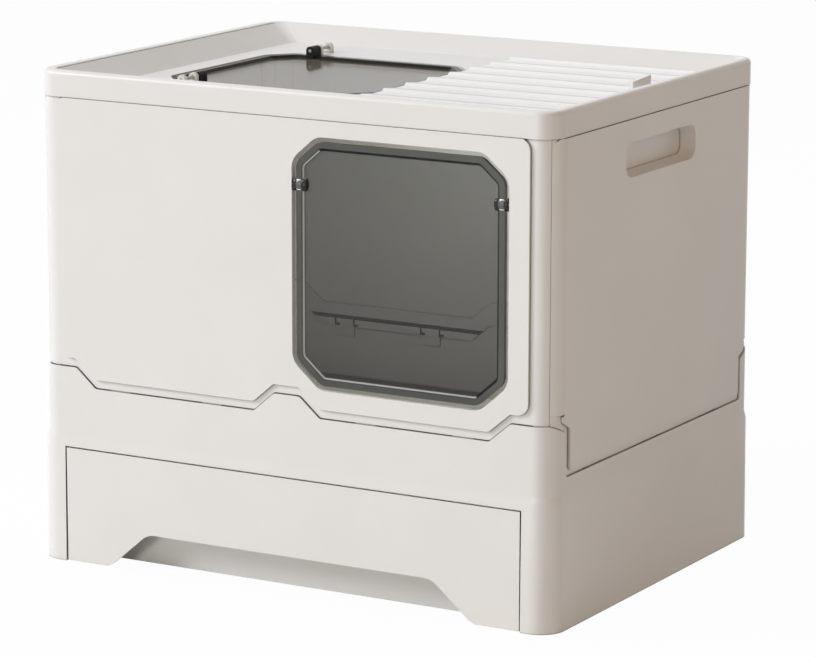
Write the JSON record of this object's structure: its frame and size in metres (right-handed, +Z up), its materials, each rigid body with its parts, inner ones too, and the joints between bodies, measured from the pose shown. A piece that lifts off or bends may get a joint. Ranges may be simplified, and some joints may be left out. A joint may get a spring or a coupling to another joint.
{
  "type": "drawer litter box",
  "caption": "Folding cat litter box with a pull-out litter drawer, a see-through entry flap and a dished lid with a top hatch and a ribbed catch plate.",
  "frame": {"origin": "middle of the footprint, on the floor", "axes": "+X to the right seen from the front, +Y to the back, +Z up; the drawer and the flap face -Y"},
  "size_m": [0.51, 0.39, 0.437],
  "materials": {
    "shell": "warm white moulded plastic with a soft satin surface",
    "smoke": "smoky see-through moulded plastic, glossy",
    "pin_plastic": "dark grey moulded plastic",
    "pin_steel": "plain steel wire"
  },
  "bodies": {
    "housing": {"base_housing": "shell", "front_wall": "shell", "back_wall": "shell", "left_wall_pins": "pin_steel", "right_wall_pins": "pin_steel", "flap_pin_left": "pin_plastic", "flap_pin_right": "pin_plastic"},
    "drawer": {"drawer": "shell"},
    "left_wall": {"left_wall": "shell"},
    "right_wall": {"right_wall": "shell"},
    "flap": {"front_flap": "smoke"},
    "lid": {"lid": "shell", "hatch_pin_front": "pin_plastic", "hatch_pin_back": "pin_plastic"},
    "hatch": {"top_hatch": "smoke"},
    "catch_plate": {"litter_catch_plate": "shell"}
  },
  "joints": [
    {"name": "drawer_slide", "type": "slide", "parent": "housing", "child": "drawer", "axis": [0, -1, 0], "range_m": [0, 0.33]},
    {"name": "left_wall_fold", "type": "hinge", "parent": "housing", "child": "left_wall", "pos_m": [-0.243, 0, 0.1295], "axis": [0, 1, 0], "range_deg": [0, 90]},
    {"name": "right_wall_fold", "type": "hinge", "parent": "housing", "child": "right_wall", "pos_m": [0.243, 0, 0.1295], "axis": [0, -1, 0], "range_deg": [0, 85]},
    {"name": "flap_swing", "type": "hinge", "parent": "housing", "child": "flap", "pos_m": [0.1093, -0.1906, 0.3548], "axis": [1, 0, 0], "range_deg": [-85, 85]},
    {"name": "lid_lift", "type": "slide", "parent": "housing", "child": "lid", "axis": [0, 0, 1], "range_m": [0, 0.12]},
    {"name": "hatch_swing", "type": "hinge", "parent": "lid", "child": "hatch", "pos_m": [-0.1506, 0.0065, 0.4215], "axis": [0, -1, 0], "range_deg": [0, 90]},
    {"name": "catch_plate_lift", "type": "slide", "parent": "lid", "child": "catch_plate", "axis": [0, 0, 1], "range_m": [0, 0.05]}
  ]
}
